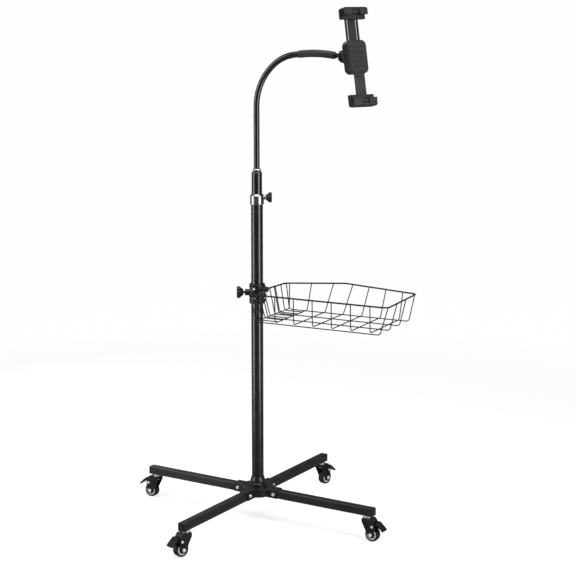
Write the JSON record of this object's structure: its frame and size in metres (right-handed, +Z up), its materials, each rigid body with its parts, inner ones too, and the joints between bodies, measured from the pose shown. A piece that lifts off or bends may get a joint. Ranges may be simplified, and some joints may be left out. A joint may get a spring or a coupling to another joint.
{
  "type": "tablet floor stand",
  "caption": "Tablet floor stand on casters: telescoping pole, gooseneck with ball joint, sliding-jaw tablet holder and wire basket.",
  "frame": {"origin": "on the floor under the pole's axis", "axes": "+Z up along the pole, +X to the right of the picture, +Y away from its camera"},
  "size_m": [0.7591, 0.6711, 1.3806],
  "materials": {
    "black_paint": "satin",
    "gloss_paint": "gloss",
    "black_plastic": "matte",
    "gloss_plastic": "gloss",
    "grey_rubber": "matte",
    "tyre_rubber": "matte",
    "bright_steel": "polished",
    "zinc": "satin",
    "grey_metal": "satin"
  },
  "bodies": {
    "base": {"hub_bracket": "black_paint", "hub_foot_socket": "black_paint", "hub_center_bolt": "zinc", "leg_right": "black_paint", "leg_rear": "black_paint", "leg_left": "black_paint", "leg_front": "black_paint", "leg_end_caps": "black_plastic", "leg_bolts": "zinc", "lower_pole": "gloss_paint", "pole_bushing": "black_plastic", "clamp_collar": "bright_steel", "caster_stems": "zinc"},
    "mast_guide": {"pole_guide_plug": "black_plastic"},
    "mast": {"upper_pole": "gloss_paint", "neck_adapter": "grey_metal", "gooseneck": "gloss_plastic"},
    "neck_end": {"neck_grip_sleeve": "grey_rubber", "neck_end_ferrule": "black_plastic"},
    "ball": {"ball_stud": "black_plastic"},
    "socket": {"ball_socket": "black_plastic"},
    "lock_ring": {"lock_ring": "black_plastic"},
    "holder": {"holder_body": "black_plastic", "back_pad": "grey_rubber", "lower_jaw": "black_plastic", "lower_jaw_pads": "grey_rubber"},
    "upper_jaw": {"upper_jaw": "black_plastic", "upper_jaw_pads": "grey_rubber"},
    "jaw_lock": {"jaw_lock_knob": "black_plastic"},
    "collar_knob": {"collar_knob": "black_plastic", "collar_knob_screw": "zinc"},
    "basket_sleeve": {"basket_sleeve": "black_plastic"},
    "basket": {"clamp_knob_half": "black_plastic", "clamp_hook_half": "black_plastic", "clamp_screws": "zinc", "hook_bracket": "black_paint", "hook_screws": "zinc", "wire_basket": "black_paint"},
    "basket_knob": {"basket_knob": "black_plastic"},
    "caster_right_swivel": {"caster_right_fork": "black_plastic", "caster_right_axle": "zinc"},
    "caster_right_roller": {"caster_right_wheel": "gloss_plastic", "caster_right_tyre": "tyre_rubber"},
    "caster_right_brake": {"caster_right_pedal": "black_plastic"},
    "caster_rear_swivel": {"caster_rear_fork": "black_plastic", "caster_rear_axle": "zinc"},
    "caster_rear_roller": {"caster_rear_wheel": "gloss_plastic", "caster_rear_tyre": "tyre_rubber"},
    "caster_rear_brake": {"caster_rear_pedal": "black_plastic"},
    "caster_left_swivel": {"caster_left_fork": "black_plastic", "caster_left_axle": "zinc"},
    "caster_left_roller": {"caster_left_wheel": "gloss_plastic", "caster_left_tyre": "tyre_rubber"},
    "caster_left_brake": {"caster_left_pedal": "black_plastic"},
    "caster_front_swivel": {"caster_front_fork": "black_plastic", "caster_front_axle": "zinc"},
    "caster_front_roller": {"caster_front_wheel": "gloss_plastic", "caster_front_tyre": "tyre_rubber"},
    "caster_front_brake": {"caster_front_pedal": "black_plastic"}
  },
  "joints": [
    {"name": "mast_slide", "type": "slide", "parent": "base", "child": "mast_guide", "axis": [0, 0, 1], "range_m": [-0.05, 0.355]},
    {"name": "mast_turn", "type": "hinge", "parent": "mast_guide", "child": "mast", "pos_m": [0, 0, 0.48], "axis": [0, 0, 1], "continuous": true},
    {"name": "neck_bend", "type": "hinge", "parent": "mast", "child": "neck_end", "pos_m": [0.01836, -0.00742, 1.196], "axis": [-0.3746, -0.9272, 0], "range_deg": [-25, 25], "deforming": ["gooseneck"]},
    {"name": "ball_twist", "type": "hinge", "parent": "neck_end", "child": "ball", "pos_m": [0.21987, -0.08883, 1.25433], "axis": [0.9131, -0.3689, -0.1736], "range_deg": [-180, 180]},
    {"name": "ball_swing", "type": "hinge", "parent": "ball", "child": "socket", "pos_m": [0.21987, -0.08883, 1.25433], "axis": [-0.3293, -0.4162, -0.8476], "range_deg": [-85, 5]},
    {"name": "lock_ring_turn", "type": "hinge", "parent": "socket", "child": "lock_ring", "pos_m": [0.21987, -0.08883, 1.25433], "axis": [0.5154, -0.8313, 0.2079], "range_deg": [0, 360]},
    {"name": "holder_turn", "type": "hinge", "parent": "socket", "child": "holder", "pos_m": [0.21987, -0.08883, 1.25433], "axis": [0.5154, -0.8313, 0.2079], "continuous": true},
    {"name": "jaw_slide", "type": "slide", "parent": "holder", "child": "upper_jaw", "axis": [-0.1096, 0.1767, 0.9781], "range_m": [-0.05, 0.008]},
    {"name": "jaw_lock_turn", "type": "hinge", "parent": "holder", "child": "jaw_lock", "pos_m": [0.24692, -0.13245, 1.22741], "axis": [-0.5154, 0.8313, -0.2079], "range_deg": [0, 360]},
    {"name": "collar_knob_turn", "type": "hinge", "parent": "base", "child": "collar_knob", "pos_m": [0.03, 0, 0.884], "axis": [1, 0, 0], "range_deg": [0, 360]},
    {"name": "basket_slide", "type": "slide", "parent": "base", "child": "basket_sleeve", "axis": [0, 0, 1], "range_m": [-0.4, 0.2]},
    {"name": "basket_turn", "type": "hinge", "parent": "basket_sleeve", "child": "basket", "pos_m": [0, 0, 0.626], "axis": [0, 0, 1], "continuous": true},
    {"name": "basket_knob_turn", "type": "hinge", "parent": "basket", "child": "basket_knob", "pos_m": [-0.035, 0, 0.629], "axis": [-1, 0, 0], "range_deg": [0, 360]},
    {"name": "caster_right_swivel_turn", "type": "hinge", "parent": "base", "child": "caster_right_swivel", "pos_m": [0.29044, -0.17868, 0.058], "axis": [0, 0, 1], "continuous": true},
    {"name": "caster_right_roll", "type": "hinge", "parent": "caster_right_swivel", "child": "caster_right_roller", "pos_m": [0.30486, -0.18769, 0.019], "axis": [0.5299, 0.848, 0], "continuous": true},
    {"name": "caster_right_brake_hinge", "type": "hinge", "parent": "caster_right_swivel", "child": "caster_right_brake", "pos_m": [0.30825, -0.18981, 0.0419], "axis": [0.5299, 0.848, 0], "range_deg": [0, 12]},
    {"name": "caster_rear_swivel_turn", "type": "hinge", "parent": "base", "child": "caster_rear_swivel", "pos_m": [0.17868, 0.29044, 0.058], "axis": [0, 0, 1], "continuous": true},
    {"name": "caster_rear_roll", "type": "hinge", "parent": "caster_rear_swivel", "child": "caster_rear_roller", "pos_m": [0.19005, 0.30307, 0.019], "axis": [-0.7431, 0.6691, 0], "continuous": true},
    {"name": "caster_rear_brake_hinge", "type": "hinge", "parent": "caster_rear_swivel", "child": "caster_rear_brake", "pos_m": [0.19273, 0.30605, 0.0419], "axis": [-0.7431, 0.6691, 0], "range_deg": [0, 12]},
    {"name": "caster_left_swivel_turn", "type": "hinge", "parent": "base", "child": "caster_left_swivel", "pos_m": [-0.29044, 0.17868, 0.058], "axis": [0, 0, 1], "continuous": true},
    {"name": "caster_left_roll", "type": "hinge", "parent": "caster_left_swivel", "child": "caster_left_roller", "pos_m": [-0.30516, 0.18718, 0.019], "axis": [-0.5, -0.866, 0], "continuous": true},
    {"name": "caster_left_brake_hinge", "type": "hinge", "parent": "caster_left_swivel", "child": "caster_left_brake", "pos_m": [-0.30862, 0.18918, 0.0419], "axis": [-0.5, -0.866, 0], "range_deg": [0, 12]},
    {"name": "caster_front_swivel_turn", "type": "hinge", "parent": "base", "child": "caster_front_swivel", "pos_m": [-0.17868, -0.29044, 0.058], "axis": [0, 0, 1], "continuous": true},
    {"name": "caster_front_roll", "type": "hinge", "parent": "caster_front_swivel", "child": "caster_front_roller", "pos_m": [-0.1917, -0.30137, 0.019], "axis": [0.6428, -0.766, 0], "continuous": true},
    {"name": "caster_front_brake_hinge", "type": "hinge", "parent": "caster_front_swivel", "child": "caster_front_brake", "pos_m": [-0.19477, -0.30394, 0.0419], "axis": [0.6428, -0.766, 0], "range_deg": [0, 12]}
  ]
}
